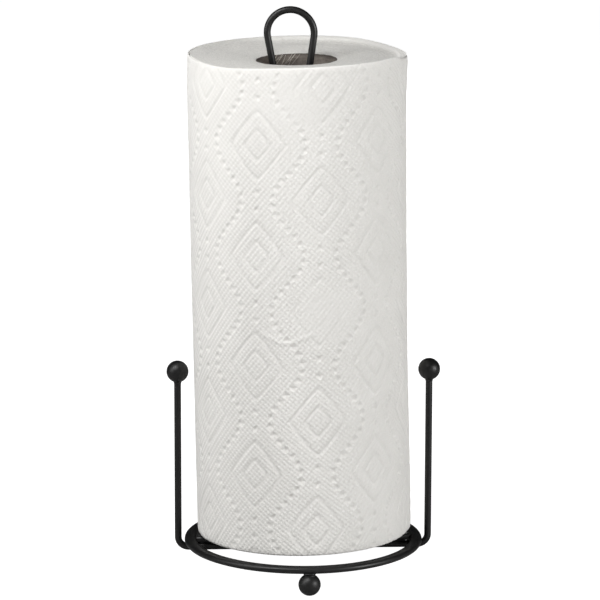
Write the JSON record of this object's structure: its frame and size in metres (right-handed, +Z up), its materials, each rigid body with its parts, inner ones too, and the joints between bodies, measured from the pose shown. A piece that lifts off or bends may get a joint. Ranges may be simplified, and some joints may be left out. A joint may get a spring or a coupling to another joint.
{
  "type": "paper towel holder",
  "caption": "Free-standing black wire paper towel holder: round base ring on ball feet, looped centre post and ball-tipped side arms, with a roll of paper on it.",
  "frame": {"origin": "on the table, below the middle of the base ring", "axes": "+Z up along the post; X runs from arm to arm; -Y is the front, where the single front foot is"},
  "size_m": [0.1582, 0.1412, 0.3269],
  "materials": {
    "black_steel": "satin black powder coat",
    "towel_paper": "soft matt, embossed two-ply tissue",
    "core_cardboard": "matt spiral-wound board"
  },
  "bodies": {
    "holder": {"base_ring": "black_steel", "arm_wire": "black_steel", "post_wire": "black_steel", "arm_ball_left": "black_steel", "arm_ball_right": "black_steel", "foot_ball_front": "black_steel", "foot_ball_back_left": "black_steel", "foot_ball_back_right": "black_steel", "foot_stud_front": "black_steel", "foot_stud_back_left": "black_steel", "foot_stud_back_right": "black_steel"},
    "roll_core": {"cardboard_core": "core_cardboard"},
    "roll_paper": {"paper_windings": "towel_paper", "outer_sheet": "towel_paper"}
  },
  "joints": [
    {"name": "roll_lift", "type": "slide", "parent": "holder", "child": "roll_core", "axis": [-0.0157, 0, 0.9999], "range_m": [0, 0.33]},
    {"name": "roll_spin", "type": "hinge", "parent": "roll_core", "child": "roll_paper", "pos_m": [0, 0, 0.0176], "axis": [-0.0157, 0, 0.9999], "continuous": true}
  ]
}
